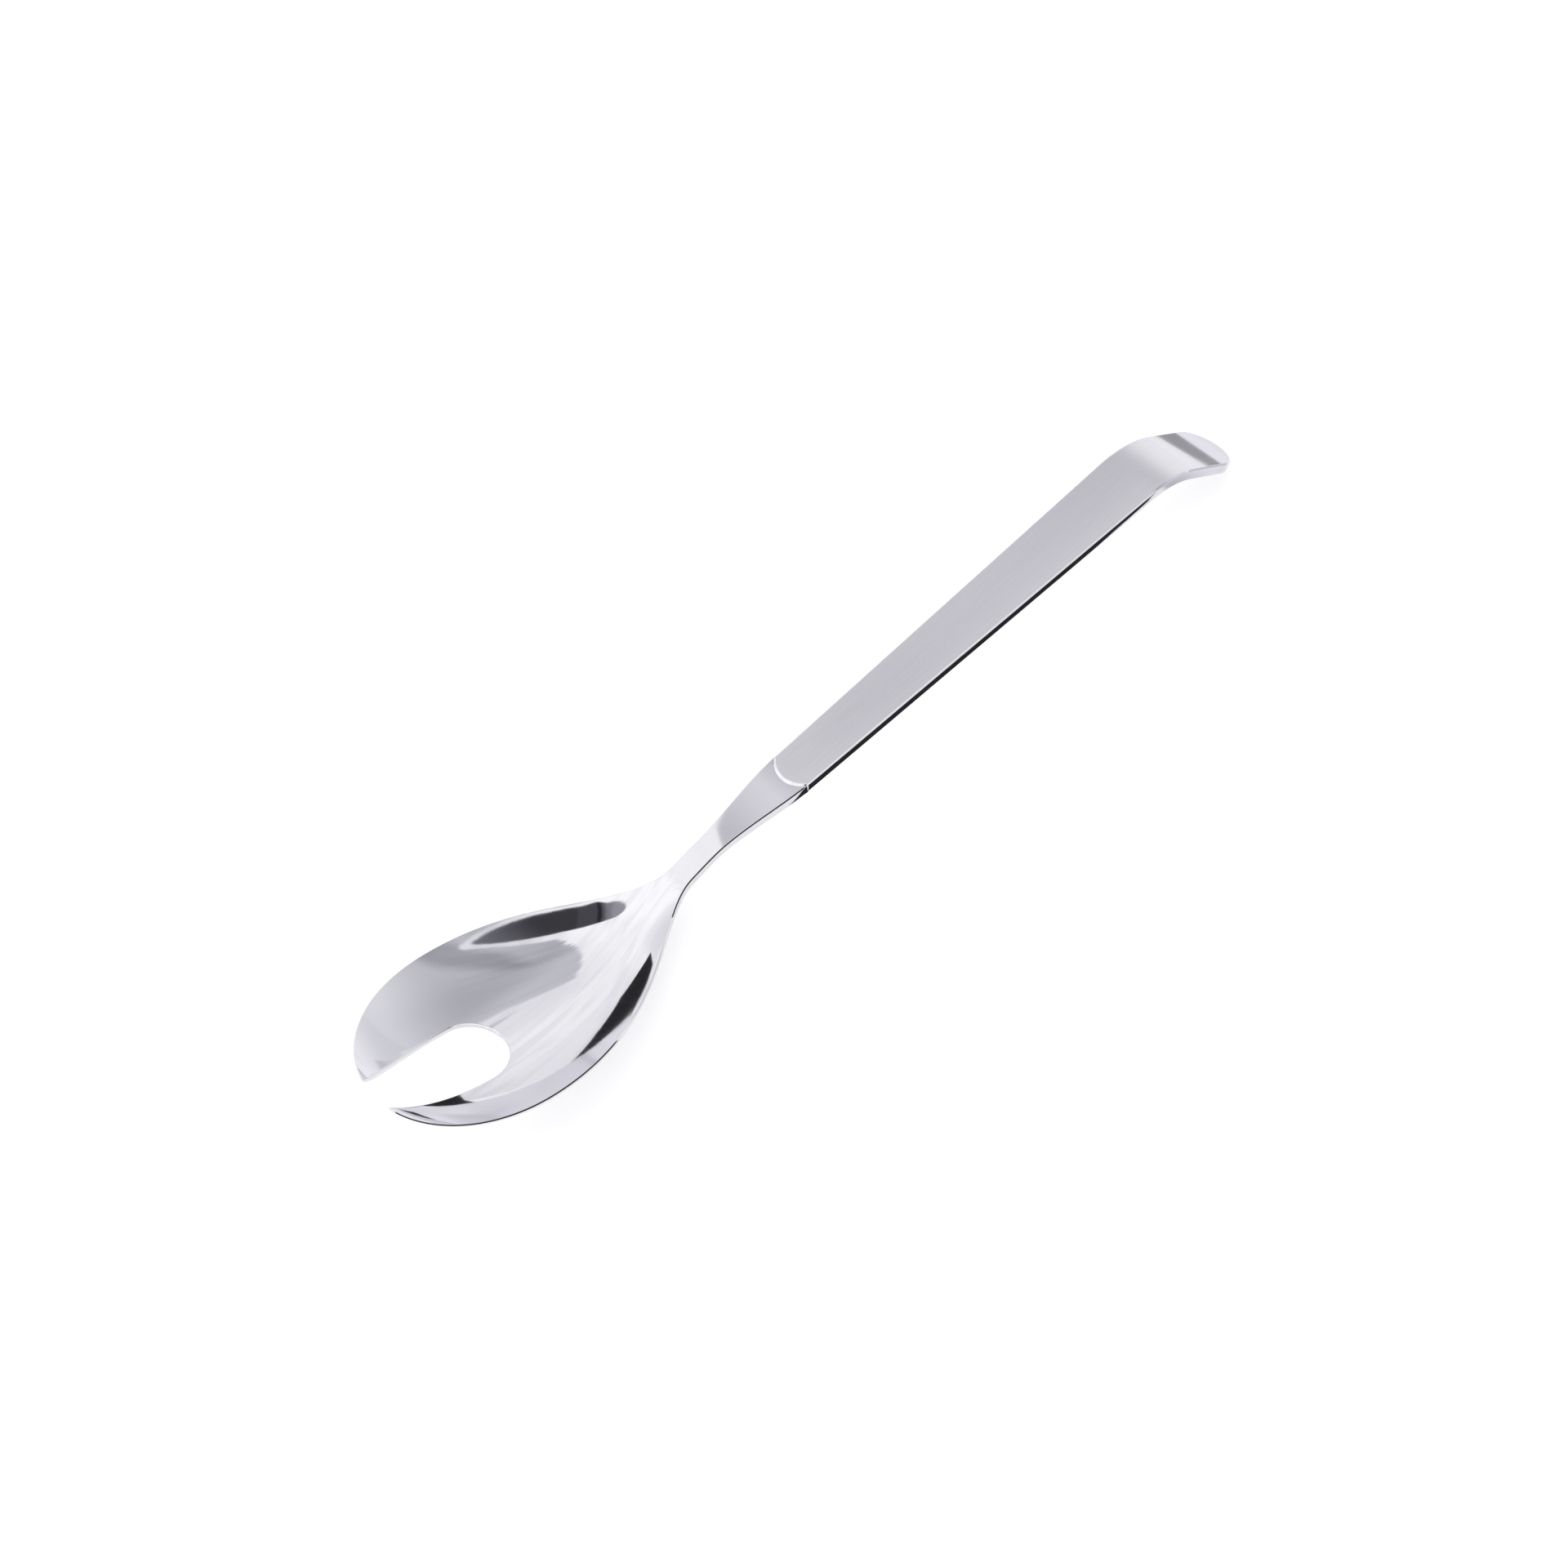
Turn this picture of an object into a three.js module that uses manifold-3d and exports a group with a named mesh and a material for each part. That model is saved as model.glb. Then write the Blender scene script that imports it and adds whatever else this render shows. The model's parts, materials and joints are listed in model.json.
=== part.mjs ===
// A salad serving fork in stainless steel: a polished spoon-shaped head whose bowl is split by a slot into
// two broad tines, and a flat hollow handle with a brushed top and a hooked, half-round end.
// The head's tang is held inside the handle by a filler, and the handle is pressed in two shells.
//
// Sizes are in millimetres. While it is being shaped, X runs along the fork from the tines to the hook,
// Y runs across it and Z is up. X is 0 where the sides of the handle meet the neck, and Z is 0 on the
// handle's flat top. At the end the fork is laid down on the bowl and the hook, as it lies on a table.

import * as THREE from 'three';
import { mergeVertices } from 'three/addons/utils/BufferGeometryUtils.js';
import Module from 'manifold-3d';

// head, seen from above
const BOWL_WIDTH = 51.4;
const BOWL_FRONT_LENGTH = 32.7;
const BOWL_FRONT_FULLNESS = 2.1;
const BOWL_BACK_LENGTH = 60;
const BOWL_BACK_LEAD = 32;
const NECK_LEAD = 13;
const NECK_WIDTH = 6.5;
const NECK_LENGTH = 8.7;
const SHOULDER_LENGTH = 28.4;
const SHOULDER_LEAD = 7.4;

// head, seen from the side
const TIP_RISE = 15.4;
const TIP_LEAD = 12;
const TIP_SLOPE = 0.28;
const RIM_DIP = 6.05;
const RIM_DIP_SET_FORWARD = 17.9;
const RIM_DIP_LEAD = 16;
const RISE_LEAD = 33;
const FLUSH_LENGTH = 6;

// head, across
const BOWL_DEPTH = 10.1;
const BOWL_THICKNESS = 1.9;
const RIM_THICKNESS = 1.6;
const NECK_THICKNESS = 3.7;
const NECK_EDGE_THICKNESS = 2.8;

// how much the bowl's wall straightens towards the rim: at 0 its section is a parabola
const BOWL_WALL_EASE = 0.1;

// share of its full widening at which the bowl has thinned to its own thickness
const BOWL_THINNED_AT = 0.4;

// slot between the tines
const SLOT_LENGTH = 33.3;
const SLOT_END_RADIUS = 8.85;
const SLOT_SIDE_RADIUS = 70;

// handle
const HANDLE_FRONT_WIDTH = 12.2;
const HANDLE_BACK_WIDTH = 17.1;
const HANDLE_STRAIGHT_LENGTH = 122.4;
const HANDLE_THICKNESS = 3.2;
const BEND_RADIUS = 30;
const BEND_ANGLE = THREE.MathUtils.degToRad(37.5);
const TAIL_LENGTH = 24.6;
const SHELL_WALL = 0.75;
const TOP_BEVEL = 0.4;
const BOTTOM_BEVEL = 0.7;
const JOINT_ARC_RISE = 3.3;

// inside the handle
const TANG_LENGTH = 26;
const TANG_ROOT_LENGTH = 6;
const FILLER_WALL = 1.3;
const FILLER_PAST_TANG = 18;
const FILLER_SET_BACK = 1.5;
const FIT_GAP = 0.3;

// fineness of the facets
const FRONT_STEPS = 12;
const FRONT_SWEEP = THREE.MathUtils.degToRad(84);
const BACK_STEPS = 16;
const NECK_STEPS = 2;
const SHOULDER_STEPS = 9;
const ACROSS_STEPS = 16;
const BEND_STEPS = 7;
const END_STEPS = 7;
const END_SWEEP = THREE.MathUtils.degToRad(84);
const ARC_SEGMENTS = 18;
const PITCH_ROUNDS = 6;
const CURVE_HALVINGS = 40;

// a bevel takes at most this share of the half-width that it lies on
const BEVEL_LIMIT = 0.5;

// a cutting shape reaches as far as the fork is wide, so that it passes all the metal that it cuts
const CUT_REACH = Math.max(BOWL_WIDTH, HANDLE_BACK_WIDTH);

// how far the slot's outline runs on past the tips
const CUT_PAST = 1;

// places along the fork
const NECK_BACK_X = -SHOULDER_LENGTH;
const NECK_FRONT_X = NECK_BACK_X - NECK_LENGTH;
const WIDEST_X = NECK_FRONT_X - BOWL_BACK_LENGTH;
const FRONT_X = WIDEST_X - BOWL_FRONT_LENGTH;
const RIM_DIP_X = NECK_FRONT_X - RIM_DIP_SET_FORWARD;
const SLOT_CENTRE_X = FRONT_X + SLOT_LENGTH - SLOT_END_RADIUS;
const BEND_LENGTH = BEND_RADIUS * BEND_ANGLE;
const HANDLE_END = HANDLE_STRAIGHT_LENGTH + BEND_LENGTH + TAIL_LENGTH;
const END_RADIUS = HANDLE_BACK_WIDTH / 2;
const END_CENTRE = HANDLE_END - END_RADIUS;

// joint arc: the handle's front is round, and the neck's end is hollowed to fit it
const JOINT_HALF_WIDTH = HANDLE_FRONT_WIDTH / 2;
const JOINT_RADIUS = (JOINT_HALF_WIDTH ** 2 + JOINT_ARC_RISE ** 2) / (2 * JOINT_ARC_RISE);
const JOINT_CENTRE_X = JOINT_RADIUS - JOINT_ARC_RISE;

// layers of the handle, measured down from its top
const SEAM_DEPTH = HANDLE_THICKNESS / 2;
const CAVITY_TOP = SHELL_WALL;
const CAVITY_BOTTOM = HANDLE_THICKNESS - SHELL_WALL;
const INSERT_TOP = CAVITY_TOP + FIT_GAP;
const INSERT_BOTTOM = CAVITY_BOTTOM - FIT_GAP;
const TANG_HALF_WIDTH = JOINT_HALF_WIDTH - SHELL_WALL - 2 * FIT_GAP - FILLER_WALL;

const wasm = await Module();
wasm.setup();

// plan and side curves of the head
const bowlBackCurve = new THREE.CubicBezierCurve(
  new THREE.Vector2(WIDEST_X, BOWL_WIDTH / 2),
  new THREE.Vector2(WIDEST_X + BOWL_BACK_LEAD, BOWL_WIDTH / 2),
  new THREE.Vector2(NECK_FRONT_X - NECK_LEAD, NECK_WIDTH / 2),
  new THREE.Vector2(NECK_FRONT_X, NECK_WIDTH / 2),
);
const shoulderCurve = new THREE.CubicBezierCurve(
  new THREE.Vector2(NECK_BACK_X, NECK_WIDTH / 2),
  new THREE.Vector2(NECK_BACK_X + SHOULDER_LEAD, NECK_WIDTH / 2),
  new THREE.Vector2(-SHOULDER_LEAD, JOINT_HALF_WIDTH),
  new THREE.Vector2(0, JOINT_HALF_WIDTH),
);
const rimFrontCurve = new THREE.CubicBezierCurve(
  new THREE.Vector2(FRONT_X, TIP_RISE),
  new THREE.Vector2(FRONT_X + TIP_LEAD, TIP_RISE - TIP_LEAD * TIP_SLOPE),
  new THREE.Vector2(RIM_DIP_X - RIM_DIP_LEAD, -RIM_DIP),
  new THREE.Vector2(RIM_DIP_X, -RIM_DIP),
);
const rimBackCurve = new THREE.CubicBezierCurve(
  new THREE.Vector2(RIM_DIP_X, -RIM_DIP),
  new THREE.Vector2(RIM_DIP_X + RIM_DIP_LEAD, -RIM_DIP),
  new THREE.Vector2(-FLUSH_LENGTH - RISE_LEAD, 0),
  new THREE.Vector2(-FLUSH_LENGTH, 0),
);

// the curve's second coordinate where its first one is x, by halving
function curveAt(curve, x) {
  let low = 0;
  let high = 1;
  for (let round = 0; round < CURVE_HALVINGS; round += 1) {
    const middle = (low + high) / 2;
    if (curve.getPoint(middle).x < x) {
      low = middle;
    } else {
      high = middle;
    }
  }
  return curve.getPoint(low).y;
}

function headHalfWidth(x) {
  if (x < WIDEST_X) {
    const share = Math.min((WIDEST_X - x) / BOWL_FRONT_LENGTH, 1);
    return (BOWL_WIDTH / 2) * (1 - share ** BOWL_FRONT_FULLNESS) ** (1 / BOWL_FRONT_FULLNESS);
  }
  if (x < NECK_FRONT_X) {
    return curveAt(bowlBackCurve, x);
  }
  return x < NECK_BACK_X ? NECK_WIDTH / 2 : curveAt(shoulderCurve, x);
}

function rimHeight(x) {
  if (x < RIM_DIP_X) {
    return curveAt(rimFrontCurve, x);
  }
  return x < -FLUSH_LENGTH ? curveAt(rimBackCurve, x) : 0;
}

// 0 in the neck, 1 where the bowl is widest: the bowl deepens as it widens
function bowlShare(x) {
  const gain = (headHalfWidth(x) - NECK_WIDTH / 2) / (BOWL_WIDTH / 2 - NECK_WIDTH / 2);
  return x < NECK_FRONT_X ? Math.max(gain, 0) : 0;
}

// thickness of the metal in the middle and at the edge: bowl, then neck, then the handle's own
function headThickness(x) {
  if (x < WIDEST_X) {
    return { middle: BOWL_THICKNESS, edge: RIM_THICKNESS };
  }
  if (x < NECK_BACK_X) {
    const bowl = THREE.MathUtils.smoothstep(bowlShare(x), 0, BOWL_THINNED_AT);
    return {
      middle: THREE.MathUtils.lerp(NECK_THICKNESS, BOWL_THICKNESS, bowl),
      edge: THREE.MathUtils.lerp(NECK_EDGE_THICKNESS, RIM_THICKNESS, bowl),
    };
  }
  const handle = THREE.MathUtils.smoothstep(x, NECK_BACK_X, -JOINT_ARC_RISE - TANG_ROOT_LENGTH);
  return {
    middle: THREE.MathUtils.lerp(NECK_THICKNESS, HANDLE_THICKNESS, handle),
    edge: THREE.MathUtils.lerp(NECK_EDGE_THICKNESS, HANDLE_THICKNESS, handle),
  };
}

// how far a section of the bowl has risen from its floor to its rim: 0 in the middle, 1 at either side
function wallRise(share) {
  return share ** 2 * (1 + BOWL_WALL_EASE * (1 - share ** 2));
}

// one closed section of the head: the top from side to side, then the underside back again
function headSection(x) {
  const halfWidth = headHalfWidth(x);
  const rim = rimHeight(x);
  const thickness = headThickness(x);
  const floor = rim - BOWL_DEPTH * bowlShare(x);
  const under = floor - thickness.middle;
  const rimUnder = rim - thickness.edge;
  const top = (share) => THREE.MathUtils.lerp(floor, rim, wallRise(share));
  const bottom = (share) => THREE.MathUtils.lerp(under, rimUnder, wallRise(share));
  const ring = [];
  const addFace = (height, bevel, direction) => {
    const reach = 1 - Math.min(bevel / halfWidth, BEVEL_LIMIT);
    for (let step = 0; step <= ACROSS_STEPS; step += 1) {
      const share = direction * reach * (1 - (2 * step) / ACROSS_STEPS);
      ring.push(new THREE.Vector3(x, share * halfWidth, height(share)));
    }
  };
  addFace(top, TOP_BEVEL, 1);
  ring.push(new THREE.Vector3(x, -halfWidth, top(1) - TOP_BEVEL));
  ring.push(new THREE.Vector3(x, -halfWidth, bottom(1) + BOTTOM_BEVEL));
  addFace(bottom, BOTTOM_BEVEL, -1);
  ring.push(new THREE.Vector3(x, halfWidth, bottom(1) + BOTTOM_BEVEL));
  ring.push(new THREE.Vector3(x, halfWidth, top(1) - TOP_BEVEL));
  return ring;
}

function headStations() {
  const stations = [];
  for (let step = 0; step < FRONT_STEPS; step += 1) {
    stations.push(WIDEST_X - BOWL_FRONT_LENGTH * Math.sin(FRONT_SWEEP * (1 - step / FRONT_STEPS)));
  }
  const spans = [
    [WIDEST_X, NECK_FRONT_X, BACK_STEPS],
    [NECK_FRONT_X, NECK_BACK_X, NECK_STEPS],
    [NECK_BACK_X, 0, SHOULDER_STEPS],
  ];
  for (const [from, to, steps] of spans) {
    for (let step = 0; step < steps; step += 1) {
      stations.push(THREE.MathUtils.lerp(from, to, step / steps));
    }
  }
  stations.push(0);
  return stations;
}

// a closed skin over a row of rings that all have as many points, with both ends filled
function loft(rings) {
  const count = rings[0].length;
  const points = rings.flat();
  const faces = [];
  for (let row = 0; row + 1 < rings.length; row += 1) {
    for (let column = 0; column < count; column += 1) {
      const a = row * count + column;
      const b = row * count + ((column + 1) % count);
      faces.push(a, b, a + count, b, b + count, a + count);
    }
  }
  const fillEnd = (ring, offset, forward) => {
    const middle = ring.reduce((sum, point) => sum.add(point), new THREE.Vector3()).divideScalar(count);
    const hub = points.push(middle) - 1;
    for (let column = 0; column < count; column += 1) {
      const a = offset + column;
      const b = offset + ((column + 1) % count);
      faces.push(hub, forward ? b : a, forward ? a : b);
    }
  };
  fillEnd(rings[0], 0, true);
  fillEnd(rings.at(-1), (rings.length - 1) * count, false);
  const geometry = new THREE.BufferGeometry().setFromPoints(points);
  geometry.setIndex(faces);
  return geometry;
}

function toSolid(geometry) {
  const bare = geometry.clone();
  bare.deleteAttribute('normal');
  bare.deleteAttribute('uv');
  const merged = mergeVertices(bare);
  const mesh = new wasm.Mesh({
    numProp: 3,
    vertProperties: new Float32Array(merged.attributes.position.array),
    triVerts: new Uint32Array(merged.index.array),
  });
  return new wasm.Manifold(mesh);
}

function toGeometry(solid) {
  const mesh = solid.getMesh();
  const geometry = new THREE.BufferGeometry();
  geometry.setAttribute('position', new THREE.BufferAttribute(mesh.vertProperties, 3));
  geometry.setIndex(new THREE.BufferAttribute(mesh.triVerts, 1));
  geometry.computeVertexNormals();
  return geometry;
}

// a plan outline made solid between two heights
function prism(shape, bottom, top) {
  const geometry = new THREE.ExtrudeGeometry(shape, {
    depth: top - bottom,
    bevelEnabled: false,
    curveSegments: ARC_SEGMENTS,
  });
  return toSolid(geometry.translate(0, 0, bottom));
}

// the slot in plan: a half-round end towards the handle, and bowed sides that draw in towards the tips
function slotOutline() {
  const side = SLOT_SIDE_RADIUS - SLOT_END_RADIUS;
  const opening = Math.asin(Math.min((SLOT_CENTRE_X - FRONT_X + CUT_PAST) / SLOT_SIDE_RADIUS, 1));
  const quarter = Math.PI / 2;
  const shape = new THREE.Shape();
  shape.absarc(SLOT_CENTRE_X, side, SLOT_SIDE_RADIUS, -quarter - opening, -quarter, false);
  shape.absarc(SLOT_CENTRE_X, 0, SLOT_END_RADIUS, -quarter, quarter, false);
  shape.absarc(SLOT_CENTRE_X, -side, SLOT_SIDE_RADIUS, quarter, quarter + opening, false);
  return shape;
}

// what lies between the joint's arc and a line across the fork at farX: on the handle's side, or on the
// neck's side where farX is negative; the arc lies `grow` outside the handle's round front
function jointOutline(grow, farX) {
  const radius = JOINT_RADIUS + grow;
  const sweep = Math.asin(JOINT_HALF_WIDTH / radius);
  const shape = new THREE.Shape();
  shape.moveTo(farX, CUT_REACH);
  shape.lineTo(0, CUT_REACH);
  shape.absarc(JOINT_CENTRE_X, 0, radius, Math.PI - sweep, Math.PI + sweep, false);
  shape.lineTo(0, -CUT_REACH);
  shape.lineTo(farX, -CUT_REACH);
  return shape;
}

// the tang in plan, or the room for it when it is grown by a gap
function tangOutline(grow) {
  const halfWidth = TANG_HALF_WIDTH + grow;
  const endCentre = TANG_LENGTH - TANG_HALF_WIDTH;
  const root = -JOINT_ARC_RISE - TANG_ROOT_LENGTH;
  const shape = new THREE.Shape();
  shape.moveTo(root, -halfWidth);
  shape.lineTo(endCentre, -halfWidth);
  shape.absarc(endCentre, 0, halfWidth, -Math.PI / 2, Math.PI / 2, false);
  shape.lineTo(root, halfWidth);
  return shape;
}

function forkHead() {
  const blank = toSolid(loft(headStations().map(headSection)));
  const slot = prism(slotOutline(), -CUT_REACH, CUT_REACH);
  const seat = prism(jointOutline(FIT_GAP, CUT_REACH), -CUT_REACH, CUT_REACH);
  const tang = prism(tangOutline(0), -INSERT_BOTTOM, -INSERT_TOP);
  return toGeometry(blank.subtract(slot).subtract(seat).add(tang));
}

function handleHalfWidth(along, inset) {
  const share = Math.min(along / HANDLE_STRAIGHT_LENGTH, 1);
  const sides = THREE.MathUtils.lerp(HANDLE_FRONT_WIDTH, HANDLE_BACK_WIDTH, share) / 2;
  const past = Math.max(along - END_CENTRE, 0);
  return Math.min(sides - inset, Math.sqrt((END_RADIUS - inset) ** 2 - past ** 2));
}

// a point of the handle, `along` its top face, `across` it and `depth` below it, carried round the bend
function handlePoint(along, across, depth) {
  const straight = Math.min(along, HANDLE_STRAIGHT_LENGTH);
  const past = along - straight;
  const angle = Math.min(past / BEND_RADIUS, BEND_ANGLE);
  const tail = Math.max(past - BEND_LENGTH, 0);
  const radius = BEND_RADIUS - depth;
  const x = straight + radius * Math.sin(angle) + tail * Math.cos(angle);
  const z = radius * Math.cos(angle) - BEND_RADIUS - tail * Math.sin(angle);
  return new THREE.Vector3(x, across, z);
}

function handleStations(inset) {
  const stations = [-JOINT_ARC_RISE - FIT_GAP];
  for (let step = 0; step <= BEND_STEPS; step += 1) {
    stations.push(HANDLE_STRAIGHT_LENGTH + (BEND_LENGTH * step) / BEND_STEPS);
  }
  for (let step = 0; step <= END_STEPS; step += 1) {
    stations.push(END_CENTRE + (END_RADIUS - inset) * Math.sin((END_SWEEP * step) / END_STEPS));
  }
  return stations;
}

// a bar that follows the handle, `inset` inside its outline: the corners go down one side of its section,
// each given as its distance in from that side and its depth below the handle's top
function handleBar(inset, corners) {
  const rings = handleStations(inset).map((along) => {
    const halfWidth = handleHalfWidth(along, inset);
    const place = (corner, side) => {
      const across = halfWidth - Math.min(corner.in, halfWidth * BEVEL_LIMIT);
      return handlePoint(along, side * across, corner.depth);
    };
    const left = corners.map((corner) => place(corner, -1));
    const right = corners.map((corner) => place(corner, 1));
    return [...left, ...right.reverse()];
  });
  return toSolid(loft(rings));
}

// one half of the hollow handle: its bar, hollowed, with the front rounded to seat in the neck
function handleShell(corners) {
  const cavity = handleBar(SHELL_WALL, [{ in: 0, depth: CAVITY_TOP }, { in: 0, depth: CAVITY_BOTTOM }]);
  const neckSide = prism(jointOutline(0, -CUT_REACH), -CUT_REACH, CUT_REACH);
  return toGeometry(handleBar(0, corners).subtract(cavity).subtract(neckSide));
}

function handleUpperShell() {
  return handleShell([
    { in: TOP_BEVEL, depth: 0 },
    { in: 0, depth: TOP_BEVEL },
    { in: 0, depth: SEAM_DEPTH - FIT_GAP / 2 },
  ]);
}

function handleLowerShell() {
  return handleShell([
    { in: 0, depth: SEAM_DEPTH + FIT_GAP / 2 },
    { in: 0, depth: HANDLE_THICKNESS - BOTTOM_BEVEL },
    { in: BOTTOM_BEVEL, depth: HANDLE_THICKNESS },
  ]);
}

// the filler in the handle's front: it lies round the tang and runs on behind it
function tangFiller() {
  const front = FILLER_SET_BACK;
  const back = TANG_LENGTH + FILLER_PAST_TANG;
  const frontHalf = handleHalfWidth(front, SHELL_WALL + FIT_GAP);
  const backHalf = handleHalfWidth(back, SHELL_WALL + FIT_GAP);
  const shape = new THREE.Shape();
  shape.moveTo(front, -frontHalf);
  shape.lineTo(back, -backHalf);
  shape.lineTo(back, backHalf);
  shape.lineTo(front, frontHalf);
  const slab = prism(shape, -INSERT_BOTTOM, -INSERT_TOP);
  const room = prism(tangOutline(FIT_GAP), -HANDLE_THICKNESS, 0);
  return toGeometry(slab.subtract(room));
}

function steel(colour, roughness) {
  return new THREE.MeshStandardMaterial({ color: colour, roughness, metalness: 1 });
}

function fillerResin() {
  return new THREE.MeshStandardMaterial({ color: 0x9a958c, roughness: 0.8, metalness: 0 });
}

function named(name, geometry, material) {
  const mesh = new THREE.Mesh(geometry, material);
  mesh.name = name;
  return mesh;
}

function meshPoints(mesh) {
  const position = mesh.geometry.attributes.position;
  const pointAt = (_, index) => new THREE.Vector3().fromBufferAttribute(position, index);
  return Array.from({ length: position.count }, pointAt);
}

// the tilt at which the lowest place of the bowl and the lowest place of the hook are level
function restPitch(points) {
  const head = points.filter((point) => point.x < 0);
  const handle = points.filter((point) => point.x > 0);
  let pitch = 0;
  for (let round = 0; round < PITCH_ROUNDS; round += 1) {
    const height = (point) => point.x * Math.sin(pitch) + point.z * Math.cos(pitch);
    const lower = (best, point) => (height(point) < height(best) ? point : best);
    const bowl = head.reduce(lower);
    const hook = handle.reduce(lower);
    pitch = Math.atan2(bowl.z - hook.z, hook.x - bowl.x);
  }
  return pitch;
}

// lays the fork on the table: bowl and hook at Z = 0, the middle of its length and width at the origin
function layDown(meshes) {
  const laid = new THREE.Group();
  laid.add(...meshes);
  laid.rotation.y = -restPitch(meshes.flatMap(meshPoints));
  laid.updateMatrixWorld(true);
  const box = new THREE.Box3().setFromObject(laid, true);
  laid.position.set(-(box.min.x + box.max.x) / 2, 0, -box.min.z);
  return laid;
}

const polished = steel(0xd8d9dc, 0.08);
const brushed = steel(0xc1c0cb, 0.38);

const fork = new THREE.Group();
fork.add(layDown([
  named('fork_head', forkHead(), polished),
  named('handle_upper_shell', handleUpperShell(), brushed),
  named('handle_lower_shell', handleLowerShell(), polished),
  named('tang_filler', tangFiller(), fillerResin()),
]));

export default fork;
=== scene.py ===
import json
import math

import bpy
import numpy as np
from mathutils import Matrix, Quaternion, Vector
from mathutils.geometry import delaunay_2d_cdt


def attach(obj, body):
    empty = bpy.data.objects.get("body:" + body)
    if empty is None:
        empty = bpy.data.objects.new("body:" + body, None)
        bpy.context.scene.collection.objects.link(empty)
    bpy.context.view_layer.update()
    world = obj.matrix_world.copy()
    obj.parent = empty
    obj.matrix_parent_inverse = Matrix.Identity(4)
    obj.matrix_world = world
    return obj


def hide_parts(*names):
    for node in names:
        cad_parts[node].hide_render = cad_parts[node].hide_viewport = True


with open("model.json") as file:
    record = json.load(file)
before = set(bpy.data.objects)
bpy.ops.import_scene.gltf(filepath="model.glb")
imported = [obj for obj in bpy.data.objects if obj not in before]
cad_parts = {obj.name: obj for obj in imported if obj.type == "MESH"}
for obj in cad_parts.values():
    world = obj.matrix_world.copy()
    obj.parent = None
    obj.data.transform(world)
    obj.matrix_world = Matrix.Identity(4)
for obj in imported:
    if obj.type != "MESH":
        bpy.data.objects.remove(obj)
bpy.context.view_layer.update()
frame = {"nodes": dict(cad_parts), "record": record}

# Sizes are in millimetres. The fork is shaped with X along it, 0 where the handle's sides meet the neck and
# growing towards the hook, Y across it and Z up from the handle's flat top; then it is laid on the floor.
MM_PER_METRE = 1000

# head in plan
BOWL_WIDTH = 51.4
BOWL_FRONT_LENGTH = 32.7
BOWL_FRONT_FULLNESS = 2.1
BOWL_BACK_LENGTH = 60.0
BOWL_BACK_LEAD = 32.0
NECK_LEAD = 13.0
NECK_WIDTH = 6.5
NECK_LENGTH = 8.7
SHOULDER_LENGTH = 28.4
SHOULDER_LEAD = 7.4

# height of the rim along the head
TIP_RISE = 15.4
TIP_LEAD = 12.0
TIP_SLOPE = 0.28
RIM_DIP = 6.05
RIM_DIP_SET_FORWARD = 17.9
RIM_DIP_LEAD = 16.0
RISE_LEAD = 33.0
FLUSH_LENGTH = 6.0

# depth and thickness of the head
BOWL_DEPTH = 10.1
BOWL_WALL_EASE = 0.1
BOWL_THICKNESS = 1.9
RIM_THICKNESS = 1.6
NECK_THICKNESS = 3.7
NECK_EDGE_THICKNESS = 2.8
BOWL_THINNED_AT = 0.4

# slot between the tines
SLOT_LENGTH = 33.3
SLOT_END_RADIUS = 8.85
SLOT_SIDE_RADIUS = 70.0

# handle
HANDLE_FRONT_WIDTH = 12.2
HANDLE_BACK_WIDTH = 17.1
HANDLE_STRAIGHT_LENGTH = 122.4
HANDLE_THICKNESS = 3.2
BEND_RADIUS = 30.0
BEND_ANGLE = math.radians(37.5)
TAIL_LENGTH = 24.6
SHELL_WALL = 0.75
JOINT_ARC_RISE = 3.3

# tang inside the handle
TANG_LENGTH = 26.0
TANG_ROOT_LENGTH = 6.0
FILLER_WALL = 1.3
FIT_GAP = 0.3

# edges: how far in and how far down each chamfer reaches, and how much its own creases are rounded
RIM_CHAMFER = (0.30, 0.385)
SLOT_CHAMFER = (0.34, 0.27)
NECK_END_CHAMFER = (0.10, 0.10)
HANDLE_CHAMFER = (0.45, 0.40)
HANDLE_FRONT_CHAMFER = (0.95, 0.42)
FRONT_CHAMFER_TAPER = 0.45
CREASE_ROUND = 0.07
CREASE_SHARE = 0.4
UNDER_ROUND = 0.5
TINE_POINT_ROUND = 0.9
EAR_POINT_ROUND = 0.12
EAR_TAPER = 1.4
EAR_SHARE_LEAST = 0.08
EAR_DROP = 0.28
JOINT_CORNER_ROUND = 0.4
SEAM_GAP = 0.01
JOINT_GAP = 0.02

# fineness of the skins
BOWL_GRID = 0.8
HANDLE_GRID = 1.3
INNER_GRID = 2.6
GRID_EDGE_SHARE = 0.55
LOOP_STEP = 0.55
ROUND_STEPS = 5
CREASE_POINTS = 4
CORNER_POINTS = 10
EASE_NEIGHBOURS = 3
ARC_POINTS = 41
RIM_FRONT_POINTS = 120
RIM_BACK_POINTS = 260
SLOT_SIDE_POINTS = 80
SLOT_ROOT_POINTS = 40
HANDLE_SIDE_POINTS = 300
HANDLE_END_POINTS = 60
TANG_END_POINTS = 24

# how finely curves are solved, how near points count as one, and which lie on the joint or the slot
HALVINGS = 40
SLOPE_STEP = 0.05
LEAST_LENGTH = 1e-12
WELD_PER_MM = 20000
MERGE_DISTANCE = 1e-6
JOINT_BAND = (-4.0, 0.5)
ON_ARC = 0.02
ON_SLOT = 0.05

# which of a piece's two materials a face takes
FACE_FINISH = 0
EDGE_FINISH = 1

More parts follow.
